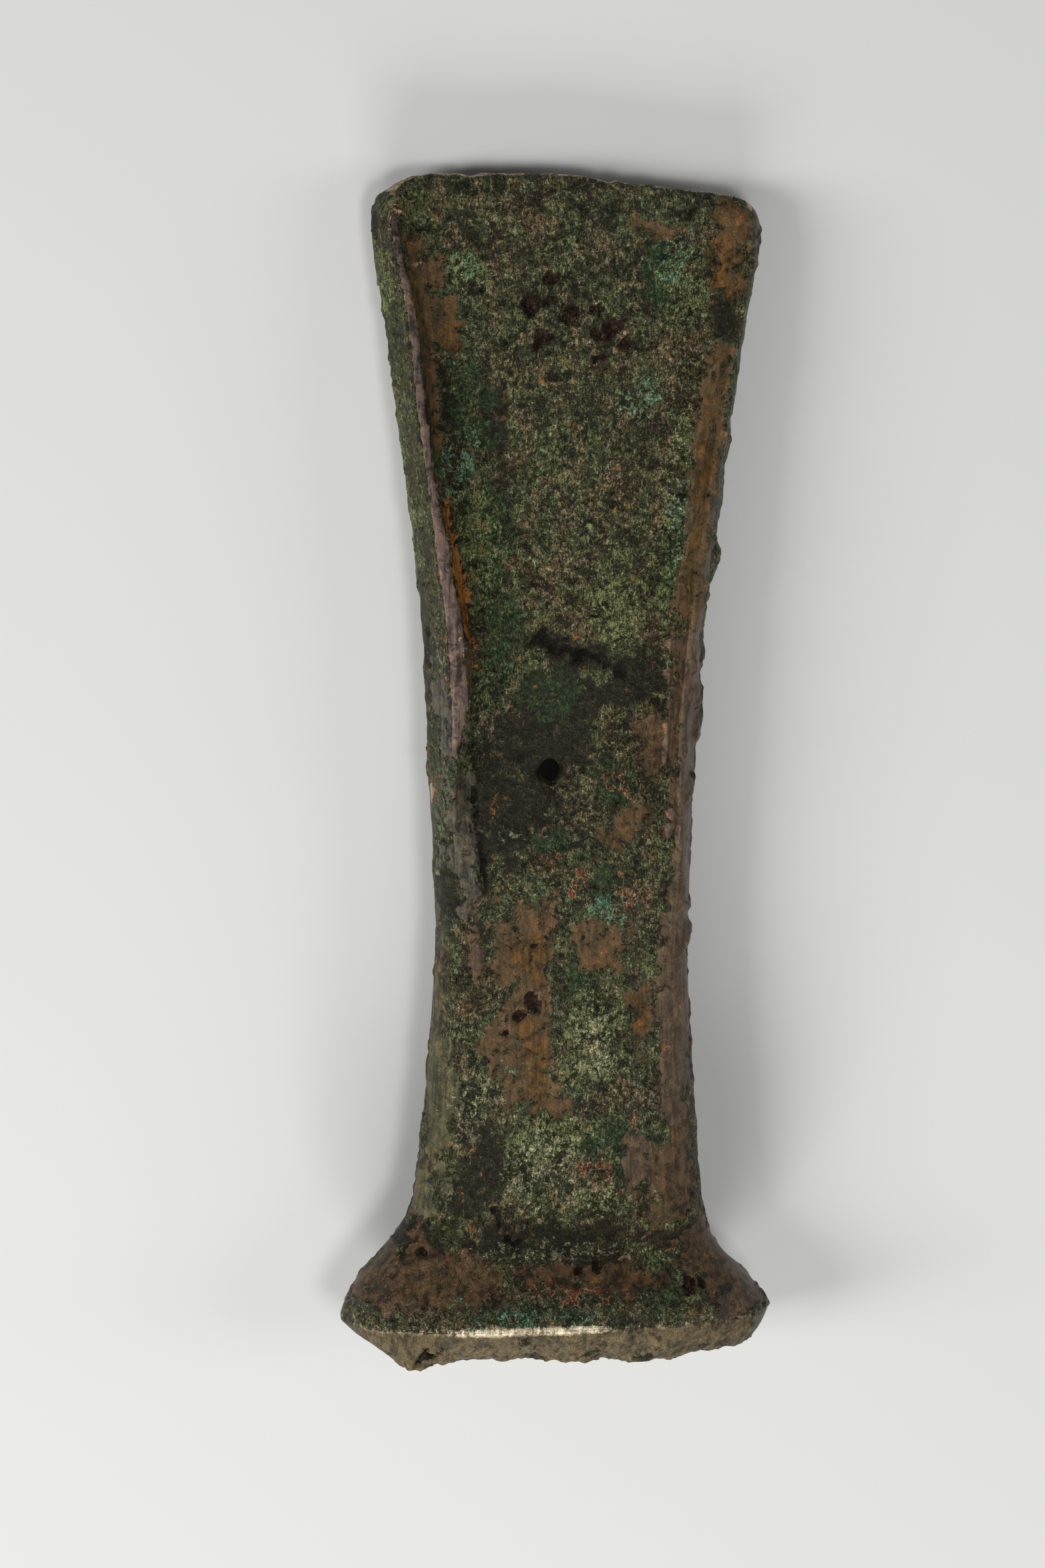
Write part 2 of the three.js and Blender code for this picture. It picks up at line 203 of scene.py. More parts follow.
SPOTS = {
    # almost black ground, with no crust left on it
    "dark": [
        (-2, 87, 8, 7, 0), (-6, 76, 5, 7, 0), (2, 96.5, 7, 2, -15), (-11, 74, 1.4, 9, 0),
        (-3, 18, 13, 2, 0), (17, 17.4, 5, 1.8, 0), (-18, 129, 3.4, 5, 0), (-11, 28, 3, 6, 0),
        (3, 15, 6, 2, 0), (-14, 103, 2, 4, 0), (-20, 18, 4, 3, 0), (-16, 64, 1.5, 5, 0),
        (21, 141, 1.4, 3, 0), (10, 93, 4, 4, 0), (-19.4, 96, 1.4, 9, 6), (-13.6, 24, 3, 4, 0),
        (-10, 128, 2.4, 6, 20), (-26, 152, 1.4, 5, 6),
    ],
    # deep green glaze
    "emerald": [
        (-11, 112, 4, 12, 0), (-9, 98, 4, 7, 0), (-3, 91, 5, 3, 0), (-13, 130, 3, 8, 0),
        (7, 30, 5, 6, 0), (1, 52, 3, 4, 0), (6, 66, 3, 3, 0), (-8, 9, 8, 1.6, 0),
        (15, 10.4, 5, 1.6, 0), (-2.6, 71, 2.6, 2.6, 0), (7, 78, 3.4, 3, 0), (13.6, 108, 1.6, 7, -6),
        (-24.5, 140, 1.4, 10, 8), (12, 146, 3, 5, 0),
    ],
    # yellowish green crust
    "moss": [
        (-24.2, 136, 2.6, 14, 8), (-20.6, 116, 2.4, 14, 8), (-18.6, 84, 1.6, 8, 4),
        (-20, 24, 3, 8, 15), (-17, 33, 2.6, 9, 3),
    ],
    # pale green crust
    "malachite": [
        (-25, 147, 1.6, 6, 8), (-22.6, 128, 1.6, 7, 9), (-20.4, 114, 1.2, 6, 8), (-13, 147, 3.4, 3.4, 0),
        (-12, 110, 3, 9, 0), (-10.6, 92, 1.2, 4.5, 0), (15.6, 145, 3, 4.6, 0), (15.4, 124, 2, 6, -8),
        (13.4, 110, 1.6, 8, -6), (3.6, 45, 5.4, 8, 0), (4.4, 23.7, 4, 3, 0), (10, 76, 1, 4, -50),
        (-12.6, 80, 0.5, 2.4, 20), (-24, 9, 4, 1.2, 15), (14, 20, 4, 2, 0), (-3, 32, 6, 4, 0),
        (7, 104, 4, 8, 0),
    ],
    # smooth bluish-grey oxide
    "grey": [(-14.2, 73, 2.3, 9, 4), (-17, 90, 1.1, 6, 6), (24, 152.5, 2, 3, 0)],
    # smooth brown metal, bare of crust
    "clean": [
        (-18.8, 147, 2.0, 4.5, 5), (-16.6, 140, 3.2, 3.4, 0), (12, 152.5, 3, 1.2, -10),
        (8.6, 73.4, 4.4, 2.2, 40), (-6.2, 58, 4, 6, 0), (-6, 44, 4.6, 8, 0), (4.6, 58, 4.6, 3.4, 0),
        (10.4, 48, 2, 7, 0), (-5.4, 51, 3, 4.4, 0), (-17.6, 78, 0.8, 3, 0),
        (-21.5, 104, 0.7, 14, 8), (-1, 36, 2, 2, 0), (9.6, 12.4, 3, 1.8, 0),
    ],
    # dark brown metal
    "umber": [
        (-18, 12.6, 9, 4, -10), (-24.5, 13, 5, 5, 20), (6, 12.6, 7, 2.6, 0), (21, 14, 7, 4.4, -15),
        (-1.5, 12.8, 6, 2.2, 0), (-2.6, 61, 2, 3, 0), (12, 84, 2, 5, 0), (13, 24, 2.4, 5, 0),
        (-17, 50, 1, 9, 0), (-19.6, 24, 2, 6, 0), (16, 27, 2, 8, 0),
    ],
    # rusty orange stain on the bare metal
    "orange": [
        (-5.2, 57, 2.2, 4, 0), (-4.6, 43, 2.2, 6, 0), (-15.6, 139.6, 1.8, 2.8, 0), (20.6, 148, 2, 4, 0),
        (3.6, 12.2, 1.2, 0.9, 0), (18.4, 122, 1.2, 6, -10), (10, 47, 1.4, 4, 0),
    ],
    # worn, mauve metal
    "mauve": [(-12.4, 56.5, 1.1, 5.5, 0), (25, 10, 4, 3, 20), (9, 27.5, 2, 4, 0)],
    # the same, rubbed bright, with painted glints and highlights on it
    "worn": [(-17.8, 77.8, 0.35, 1.2, 0), (-14.4, 96, 0.3, 1.2, 5), (-15, 100, 0.3, 1, 5)],
    # whitish crust
    "pale": [
        (-10.6, 38, 3.0, 2.0, 0), (1.6, 24, 4, 2, 0), (-16.1, 23.9, 1.1, 1.2, 0), (12.3, 23.4, 1.1, 1.3, 0),
        (-7, 72.4, 2, 1.8, 0), (-18, 60, 1.4, 9, 0), (3.4, 45, 3.2, 6.4, 0), (4.4, 23.7, 4.4, 3, 0),
        (14.6, 121, 1.6, 7, -8), (-3, 27, 7, 5, 0), (-13, 34, 3, 5, 0), (0, 16, 12, 1.6, 0),
    ],
    # blue-green specks in the crust
    "teal": [
        (15, 148, 3, 3.4, 0), (-14.6, 121, 3, 7, -25), (-13.6, 147.6, 2.4, 2, 0), (-8, 8.5, 14, 1.8, -2),
        (9.4, 35, 1.8, 2.6, 0), (-7, 41, 3, 2.4, 0), (6.4, 62, 4, 3, 0), (15, 114, 1.4, 10, -5),
        (-8, 73, 1.6, 1.2, 0), (10, 130, 3, 4, 0),
    ],
    # clusters of red oxide crystals
    "red": [
        (-2.8, 72.6, 1.2, 1.8, 0), (-2.4, 69.4, 3, 1.8, 0), (6.9, 78.3, 2.4, 2.4, 0),
        (11.2, 79, 1.2, 1.2, 0), (9.4, 34, 1.8, 2.4, 0), (8.4, 65, 2, 3.4, 0),
        (1.4, 66, 1.8, 3.4, 0), (4, 27, 4, 2.6, 0), (0, 10.8, 8, 1.8, 0),
    ],
    # smooth olive metal
    "olive": [(-17.2, 40, 2.4, 13, 3), (-17.8, 62, 1.2, 5, 2), (-19, 24, 2, 4, 15)],
}

# A strip is a line of (x, y, half-width).
STRIPS = {
    "worn": [
        [(-23.6, 155.6, 0.35), (-22.8, 154.4, 0.3)],
        [(-20.4, 147.8, 0.5), (-19.6, 148.3, 0.4)],
    ],
    "clean": [
        [(21.6, 154, 2.2), (21.4, 145.5, 1.6)],
        [(20.0, 136, 1.5), (19.3, 127, 1.9), (18, 118, 2.0), (16.8, 104, 2.2), (16.2, 92, 2.2)],
        [(-21, 151, 1.5), (-19.6, 143, 1.6), (-18.7, 135, 1.2), (-17.2, 124, 0.7)],
    ],
    "mauve": [
        [
            (16.2, 99, 2.2), (16.0, 81, 2.1), (16.0, 70, 2.2), (15.3, 59, 2.5),
            (14.9, 50, 3.0), (15, 40, 2.8), (14.8, 35, 2.2),
        ],
    ],
}

# Pits are (x, y, radius, depth); cracks are (points along them, half-width, depth).
PITS = [
    (-2.2, 146.3, 1.1, 0.5), (-4.9, 143, 1.3, 0.55), (-2.6, 143.3, 0.6, 0.5), (0.2, 141.3, 1.2, 0.5),
    (3.7, 141.8, 0.9, 0.5), (-3.8, 138.2, 1.2, 0.55), (6.4, 139.9, 1.2, 0.5), (5.0, 138.8, 1.0, 0.45),
    (3.6, 138.8, 0.7, 0.4), (3.6, 135.4, 0.6, 0.4), (4.9, 135.7, 0.5, 0.4), (7.6, 137.8, 0.6, 0.4),
    (-19.2, 16.3, 0.7, 0.6), (4.2, 13.8, 0.6, 0.5), (1.6, 13.7, 0.5, 0.5), (16.9, 11.1, 0.7, 0.5),
    (18.6, 11.2, 0.5, 0.5), (-5, 50.3, 1.1, 0.4), (-6.3, 48.5, 0.8, 0.4), (-4.6, 57.5, 0.7, 0.35),
    (-8.5, 45.8, 0.7, 0.35),
]
CRACKS = [
    ([(-2.6, 98.4), (-0.4, 97.4), (1.8, 96.0)], 1.1, 0.5),
    ([(1.8, 96.4), (4.4, 96.2), (7.5, 93.8)], 0.55, 0.35),
    ([(-9.2, 21.5), (-8.8, 18.6), (-7.4, 17.0), (-6.4, 17.6)], 0.55, 0.6),
    ([(-20.2, 1.9), (-18.2, 2.3)], 0.7, 1.2),
    ([(-12.4, 79), (-11.6, 72), (-10.7, 64)], 0.35, 0.3),
]
# Dips in the butt's edge are (x, half-width, depth).
BUTT_DIPS = [(-12.9, 0.9, 0.35), (5.6, 0.7, 0.4), (9.3, 0.6, 0.3), (-23, 1.6, 0.3)]
# The middle of the small hole's mouth, as (x, y).
FLAW = (-1.7, 81)
# The rim's painted highlight, on partly rubbed metal, runs across the foot at this y, and reaches this far
# on each side of it.
RIM_AT, RIM_WIDE = 6.2, 0.62
# The left flare swells most at this y, and the swelling dies away over this length.
SWELL_AT, SWELL_ALONG = 13.5, 5.0

# ---- Helpers for working on many points at once ----------------------------------------------


def step(value, low, high):
    """0 below low, 1 above high, and smooth between them."""
    t = np.clip((value - low) / (high - low), 0, 1)
    return t * t * (3 - 2 * t)


def bell(value, centre, width):
    """1 at the centre, and dying away smoothly over the width on both sides."""
    return np.exp(-(((value - centre) / width) ** 2))


def field(points, size, octaves=3, seed=0):
    """Smooth noise from about -1 to 1. Its largest features are of the size given, in mm."""
    away = Vector((seed * 31.7, seed * 17.3, seed * 11.9))
    return np.array([noise.fractal(Vector(p) / size + away, 1.0, 2.0, octaves) for p in points])


def cells(points, size, seed=0):
    """Distance to the nearest of a crowd of scattered points, as a share of their spacing."""
    away = Vector((seed * 13.1, seed * 7.7, seed * 3.9))
    return np.array([noise.voronoi(Vector(p) / size + away)[0][0] for p in points])


def inside(points, spot):
    """How far inside a spot each point lies: 1 at its centre and 0 at its edge."""
    x, y, across, along, turn = spot
    c, s = math.cos(math.radians(turn)), math.sin(math.radians(turn))
    dx, dy = points[:, 0] - x, points[:, 1] - y
    away = np.hypot((dx * c + dy * s) / across, (dy * c - dx * s) / along)
    return 1 - away


def from_line(points, line):
    """Each point's distance, seen from the front, from a line through several places."""
    return -within(points, [(x, y, 0) for x, y in line])[0]


def within(points, strip):
    """How far inside a strip each point lies, in mm, and the strip's half-width there."""
    best, width = np.full(len(points), -np.inf), np.ones(len(points))
    for (ax, ay, a_half), (bx, by, b_half) in zip(strip, strip[1:]):
        along = np.array([bx - ax, by - ay])
        to = points[:, :2] - np.array([ax, ay])
        share = np.clip(to @ along / (along @ along), 0, 1)
        half = a_half + (b_half - a_half) * share
        depth = half - np.linalg.norm(to - share[:, None] * along, axis=1)
        width = np.where(depth > best, half, width)
        best = np.maximum(best, depth)
    return best, width


# ---- The axe's surface -----------------------------------------------------------------------

VOXEL = 0.49 * MM
BOX_CLEARANCE = 0.02 * MM
RIM_SMOOTHINGS = 32
# A flange is measured in slices this long, and a slice's top CREST_TOP mm is its crest.
CREST_SLICE = 2.6
CREST_TOP = 0.25
# The crests on the right are rubbed less than those on the left.
RIGHT_CREST = 0.35
# A finish's mark goes from 0 to 1 over this many mm on each side of its edge.
EDGE_BLUR = 1.0
# Away from the front a finish lies where noise of this size is above the level. The slope
# turns how far above it is into mm inside the finish. Each finish has the next seed.
PATCH_SIZE = 13
PATCH_LEVEL = 0.24
PATCH_SLOPE = 9
FIRST_PATCH_SEED = 20

# Heights of the relief, in mm.
UNDULATION = 0.16
COARSE_LUMPS, FINE_LUMPS = 0.26, 0.24
CRUST_THICKNESS = 0.12
METAL_GRAIN = 0.05
CRUST_EDGE = 0.10
MALACHITE_THICKNESS, PALE_THICKNESS = 0.10, 0.08
POCKS = 0.30
CRYSTALS = 0.5
WARTS = 1.1
PIT_RIM = 0.12
FLAW_MOUTH = 0.25
LEFT_SWELL = 1.0
FOOT_FRAY, BUTT_FRAY = 0.45, 0.10
# Rubbing takes this share of the relief off a crest.
CREST_POLISH = 0.8


def dense_copy(node):
    """A copy of a node's solid with even, small faces."""
    rough = bpy.data.objects.new("rough", frame["nodes"][node].data.copy())
    bpy.context.scene.collection.objects.link(rough)
    remesh = rough.modifiers.new("even", "REMESH")
    remesh.mode = "VOXEL"
    remesh.voxel_size = VOXEL
    remesh.adaptivity = 0
    smooth = rough.modifiers.new("smooth", "SMOOTH")
    smooth.factor = 0.5
    smooth.iterations = 3
    made = rough.evaluated_get(bpy.context.evaluated_depsgraph_get())
    mesh = bpy.data.meshes.new_from_object(made)
    bpy.data.objects.remove(rough)
    mesh.name = "axe_surface"
    axe = bpy.data.objects.new("axe_surface", mesh)
    bpy.context.scene.collection.objects.link(axe)
    return axe


def soften_rim(axe):
    """Rounds the front rim of the foot, which the solid has as a sharp edge."""
    _, y, z = to_own(corners(axe.data)).T
    weights = step(z, 0, 3) * step(y, 2, 4) * (1 - step(y, 8.5, 10.5))
    group = axe.vertex_groups.new(name="soft")
    for i in np.flatnonzero(weights > 0):
        group.add([int(i)], float(weights[i]), "REPLACE")
    smooth = axe.modifiers.new("soften", "SMOOTH")
    smooth.factor = 0.5
    smooth.iterations = RIM_SMOOTHINGS
    smooth.vertex_group = group.name
    made = axe.evaluated_get(bpy.context.evaluated_depsgraph_get())
    sharp = axe.data
    axe.data = bpy.data.meshes.new_from_object(made)
    axe.data.name = "axe_surface"
    axe.modifiers.clear()
    axe.vertex_groups.clear()
    bpy.data.meshes.remove(sharp)


def crest_of(side, face, y):
    """At each y, a flange's crest: its height and its inner and outer distance from the middle."""
    solid = to_own(corners(frame["nodes"][NODE].data))
    mine = solid[(solid[:, 0] * side > 4) & (solid[:, 2] * face > 0)]
    slice_of = np.round(mine[:, 1] / CREST_SLICE).astype(int)
    found = []
    for one in np.unique(slice_of):
        here = mine[slice_of == one]
        height = (here[:, 2] * face).max()
        top = np.abs(here[here[:, 2] * face > height - CREST_TOP, 0])
        found.append((here[:, 1].mean(), height, top.min(), top.max()))
    found = np.array(found)
    return [np.interp(y, found[:, 0], found[:, i]) for i in (1, 2, 3)]


class Surface:
    """The dense mesh's points on the axe, and what lies where on it."""

    def __init__(self, axe):
        self.mesh = axe.data
        self.at = to_own(corners(self.mesh))
        normals = np.empty(len(self.mesh.vertices) * 3)
        self.mesh.vertices.foreach_get("normal", normals)
        self.out = normals.reshape(-1, 3) @ BASIS.T
        self.x, self.y, self.z = self.at.T
        self.front = step(self.out[:, 2], -0.15, 0.15) * step(self.z, -1, 0)
        self.wobble = field(self.at, 4.2, 4, seed=1)
        self.shiver = field(self.at, 1.5, 3, seed=7)
        self.crumb = field(self.at, 2.4, 3, seed=8)
        self.marks = {}
        self.find_crests()
        self.find_rust()
        self.find_spots()
        self.find_edges()

    def find_crests(self):
        """Marks the crests of the four flanges."""
        from_middle = np.abs(self.x)
        reach = step(self.y, 80, 86) * (1 - step(self.y, 153, 157))
        crest = np.zeros(len(self.at))
        for side in (-1, 1):
            for face in (-1, 1):
                height, inner, outer = crest_of(side, face, self.y)
                near = (self.x * side > 0) & (self.z * face > 0)
                near = near * step(self.z * face - height, -0.5, -0.25)
                near *= step(from_middle, inner - 0.5, inner - 0.1)
                near *= step(-from_middle, -outer - 0.5, -outer - 0.1)
                crest = np.maximum(crest, near * reach * (1 if side < 0 else RIGHT_CREST))
        self.marks["crest"] = crest * (1 - 0.3 * step(self.y, 104, 118))

    def find_rust(self):
        """Marks the rusty strip along the inside of the left front flange's crest."""
        _, inner, _ = crest_of(-1, 1, self.y)
        inward = inner - np.abs(self.x)
        rusty = (self.x < 0) & (self.z > 0)
        rusty = rusty * step(inward, 0.0, 0.3) * (1 - step(inward + 0.8 * self.crumb, 1.2, 2.5))
        along = self.y + 4 * self.wobble + 2 * self.crumb
        rusty *= step(along, 91, 99) * (1 - step(along, 111, 122))
        self.marks["rust"] = rusty * (0.85 + 0.5 * self.crumb)

    def find_spots(self):
        """Each finish's mark: 1 well inside it, 0 well outside, and a half at its edge."""
        waver = 0.5 * self.wobble + 0.3 * self.shiver
        for seed, (name, spots) in enumerate(SPOTS.items(), start=FIRST_PATCH_SEED):
            depths = []
            for spot in spots:
                size = min(spot[2:4])
                ragged = self.crumb * min(1.7, 0.7 * size)
                depths.append((inside(self.at, spot) + waver) * size + ragged)
            for strip in STRIPS.get(name, []):
                depth, half = within(self.at, strip)
                depths.append(depth + (waver + 0.5 * self.crumb) * half)
            depth = np.where(self.front > 0.5, np.max(depths, axis=0), self.off_front(name, waver, seed))
            self.marks[name] = np.clip(0.5 + depth / (2 * EDGE_BLUR), 0, 1)

    def off_front(self, name, waver, seed):
        """How far inside a finish each point of the back and sides lies, in mm."""
        if name == "worn":
            return np.full(len(self.at), -EDGE_BLUR)
        patches = PATCH_SLOPE * (field(self.at, PATCH_SIZE, 3, seed) - PATCH_LEVEL)
        return patches + 1.5 * waver + 1.7 * self.crumb

    def find_edges(self):
        """Marks the broken edge of the foot, its partly rubbed rim with a painted highlight along it, and
        the butt's worn edge with a painted highlight line.
        """
        self.marks["tan"] = step(self.y, 7.0, 5.6) * (0.85 + 0.5 * self.wobble)
        # The rim is painted as a highlight on partly rubbed metal, brightest across the middle and fading
        # towards the corners.
        most = step(self.x, -21, -9) * (1 - step(self.x, 0, 9))
        rubbed_and_highlit = 0.28 + 0.72 * most + 0.2 * self.wobble
        self.marks["rim"] = self.front * bell(self.y, RIM_AT, RIM_WIDE) * rubbed_and_highlit
        # Faces turned towards the butt end get a painted highlight line, on worn metal.
        butt = step(self.y, 150, 152) * step(self.out[:, 1], 0.45, 0.75) * (0.75 + 0.4 * self.shiver)
        self.marks["worn"] = np.maximum(self.marks["worn"], butt)

    def bareness(self):
        """How surely the surface is bare metal or smooth oxide, with no crust."""
        names = ("clean", "umber", "olive", "mauve", "grey", "worn", "crest")
        bare = [self.marks[name] for name in names]
        return np.maximum.reduce([*bare, 0.8 * self.marks["tan"], 1.6 * self.marks["rim"]])

    def relief(self):
        """How far each point moves out, in mm."""
        marks = self.marks
        bare = self.bareness()
        smooth = step(bare, 0.4, 0.6)
        crust = 1 - smooth
        coarse = field(self.at, 2.6, 3, seed=3)
        fine = field(self.at, 1.2, 2, seed=4)
        lumps = COARSE_LUMPS * coarse + FINE_LUMPS * fine
        marks["raised"] = 0.5 + lumps
        out = UNDULATION * field(self.at, 9, 3, seed=2)
        out += crust * self.unrubbed() * lumps
        out += smooth * METAL_GRAIN * coarse - CRUST_THICKNESS * smooth
        out += CRUST_EDGE * bell(bare, 0.32, 0.14) * (0.6 + coarse)
        out += MALACHITE_THICKNESS * step(marks["malachite"], 0.4, 0.65)
        out += PALE_THICKNESS * step(marks["pale"], 0.4, 0.65)
        out -= POCKS * crust * self.pocks()
        out += CRYSTALS * crust * step(marks["red"], 0.45, 0.7) * (0.5 - cells(self.at, 1.5, seed=10))
        out += WARTS * self.warts()
        out += self.dents(fine)
        out *= 1 - CREST_POLISH * marks["crest"]
        out += LEFT_SWELL * step(-self.out[:, 0], 0.1, 0.6) * bell(self.y, SWELL_AT, SWELL_ALONG)
        return out

    def unrubbed(self):
        """How much of the crust's lumps is left: less in the dark patches and on the axe's sides."""
        left, right = step(-self.out[:, 0], 0.3, 0.7), step(self.out[:, 0], 0.3, 0.7)
        return (1 - 0.45 * step(self.marks["dark"], 0.4, 0.7)) * (1 - 0.45 * left - 0.4 * right)

    def pocks(self):
        """Small hollows scattered over parts of the crust."""
        return (1 - step(cells(self.at, 2.1, seed=5), 0.10, 0.30)) * step(self.wobble, -0.2, 0.3)

    def warts(self):
        """Blisters of corrosion along the right side."""
        along = step(self.y, 40, 55) * (1 - step(self.y, 108, 118))
        height = np.clip(field(self.at, 3.4, 3, seed=9) - 0.12, 0, 0.6)
        return step(self.out[:, 0], 0.3, 0.8) * along * height

    def dents(self, fine):
        """Pits with raised rims, cracks, and the worn mouth of the flaw."""
        out, pitted, cracked = np.zeros((3, len(self.at)))
        for x, y, radius, depth in PITS:
            away = np.hypot(self.x - x, self.y - y) + radius * (0.6 * fine + 0.9 * self.crumb)
            hole = self.front * (1 - step(away, 0.8 * radius, 1.2 * radius))
            out -= depth * hole
            out += PIT_RIM * self.front * bell(away, 1.5 * radius, 0.4 * radius)
            pitted = np.maximum(pitted, hole)
        for line, half_width, depth in CRACKS:
            away = from_line(self.at, line) + half_width * (1.6 * fine + 1.3 * self.crumb)
            hole = self.front * (1 - step(away, 0.3 * half_width, 1.3 * half_width))
            out -= depth * hole
            cracked = np.maximum(cracked, hole)
        self.marks["pit"], self.marks["crack"] = pitted, cracked
        away = np.hypot(self.x - FLAW[0], self.y - FLAW[1])
        return out - FLAW_MOUTH * (1 - step(away, 1.5, 2.6))

    def move(self):
        """Moves the points, frays the foot's edge and the butt's, and stays inside the solid's box."""
        moved = self.at + self.out * self.relief()[:, None]
        fray = field(self.at, 1.5, 3, seed=6)
        moved[:, 1] += FOOT_FRAY * fray * (1 - step(self.y, 1.5, 4))
        dips = sum(depth * bell(self.x, x, half_width) for x, half_width, depth in BUTT_DIPS)
        moved[:, 1] -= (dips + BUTT_FRAY * fray) * step(self.y, 155.5, 157.5)
        row = (moved * MM + np.array([0, FOOT, MID])) @ BASIS
        low, high = np.array(cad_box)
        row = np.clip(row, low + BOX_CLEARANCE, high - BOX_CLEARANCE)
        self.mesh.vertices.foreach_set("co", row.ravel())
        self.mesh.update()

    def store_marks(self):
        """Keeps the marks with the mesh, where the material reads them."""
        for name, values in self.marks.items():
            layer = self.mesh.attributes.new(name, "FLOAT", "POINT")
            layer.data.foreach_set("value", values.astype(np.float32))


# ---- The bronze ------------------------------------------------------------------------------


class Nodes:
    """Short calls for building a material's node tree."""

    def __init__(self, name):
        self.material = bpy.data.materials.new(name)
        self.material.use_nodes = True
        self.tree = self.material.node_tree
        self.shader = self.tree.nodes["Principled BSDF"]
        place = self.tree.nodes.new("ShaderNodeTexCoord")
        self.place = self.scaled(place.outputs["Object"], (1 / MM, 1 / MM, 1 / MM))

    def put(self, socket, value):
        """Gives a socket a plain value, or a link from another node."""
        if hasattr(value, "is_linked"):
            self.tree.links.new(value, socket)
        else:
            socket.default_value = value

    def scaled(self, vector, scale):
        """A vector times a scale for each axis."""
        node = self.tree.nodes.new("ShaderNodeMapping")
        self.put(node.inputs["Vector"], vector)
        node.inputs["Scale"].default_value = scale
        return node.outputs["Vector"]

    def gained(self, shade, gain):
        """A colour made lighter or darker, with its hue kept."""
        node = self.tree.nodes.new("ShaderNodeVectorMath")
        node.operation = "SCALE"
        self.put(node.inputs[0], shade)
        self.put(node.inputs["Scale"], gain)
        return node.outputs["Vector"]

    def noise(self, size, detail=3, rough=0.5, warp=0.0, place=None):
        """Noise from 0 to 1 whose largest features are of the size given, in mm."""
        node = self.tree.nodes.new("ShaderNodeTexNoise")
        self.put(node.inputs["Vector"], place or self.place)
        node.inputs["Scale"].default_value = 1 / size
        node.inputs["Detail"].default_value = detail
        node.inputs["Roughness"].default_value = rough
        node.inputs["Distortion"].default_value = warp
        return node.outputs["Fac"]

    def voronoi(self, size, feature="F1"):
        """The outputs of a Voronoi texture whose cells are of the size given, in mm."""
        node = self.tree.nodes.new("ShaderNodeTexVoronoi")
        self.put(node.inputs["Vector"], self.place)
        node.feature = feature
        node.inputs["Scale"].default_value = 1 / size
        return node.outputs

    def mark(self, name):
        """One of the marks that the surface has stored."""
        node = self.tree.nodes.new("ShaderNodeAttribute")
        node.attribute_name = name
        return node.outputs["Fac"]

    def maths(self, operation, a, b=0.0, c=0.0):
        """A sum or product of numbers. MULTIPLY_ADD is a times b, plus c."""
        node = self.tree.nodes.new("ShaderNodeMath")
        node.operation = operation
        for socket, value in zip(node.inputs, (a, b, c)):
            self.put(socket, value)
        return node.outputs["Value"]

    def ramp(self, value, low, high, to_low=0.0, to_high=1.0):
        """A value that goes evenly from to_low at low to to_high at high, and no further."""
        node = self.tree.nodes.new("ShaderNodeMapRange")
        self.put(node.inputs["Value"], value)
        node.inputs["From Min"].default_value = low
        node.inputs["From Max"].default_value = high
        node.inputs["To Min"].default_value = to_low
        node.inputs["To Max"].default_value = to_high
        return node.outputs["Result"]

    def mix(self, share, under, over):
        """One colour over another, by a share from 0 to 1."""
        node = self.tree.nodes.new("ShaderNodeMix")
        node.data_type = "RGBA"
        self.put(node.inputs["Factor"], share)
        self.put(node.inputs["A"], under)
        self.put(node.inputs["B"], over)
        return node.outputs["Result"]

    def blend(self, share, under, over):
        """The same as mix, for numbers."""
        node = self.tree.nodes.new("ShaderNodeMix")
        self.put(node.inputs["Factor"], share)
        self.put(node.inputs["A"], under)
        self.put(node.inputs["B"], over)
        return node.outputs["Result"]


def colour(red, green, blue):
    """A colour as it looks on a screen, from 0 to 255, as the shader wants it."""
    shares = [v / 255 for v in (red, green, blue)]
    return (*(((s + 0.055) / 1.055) ** 2.4 if s > 0.04 else s / 12.92 for s in shares), 1)


class Finish(NamedTuple):
    """A finish that lies over the crust wherever its mark, broken up by noise, passes the edge."""

    mark: str
    dark: tuple
    light: tuple
    share: float = 0.8
    edge: float = 0.6
    ragged: float = 1.6
    blur: float = 0.04
    metal: float = 0.0
    rough: float = 0.5
    fringed: bool = False
    crystalline: bool = False


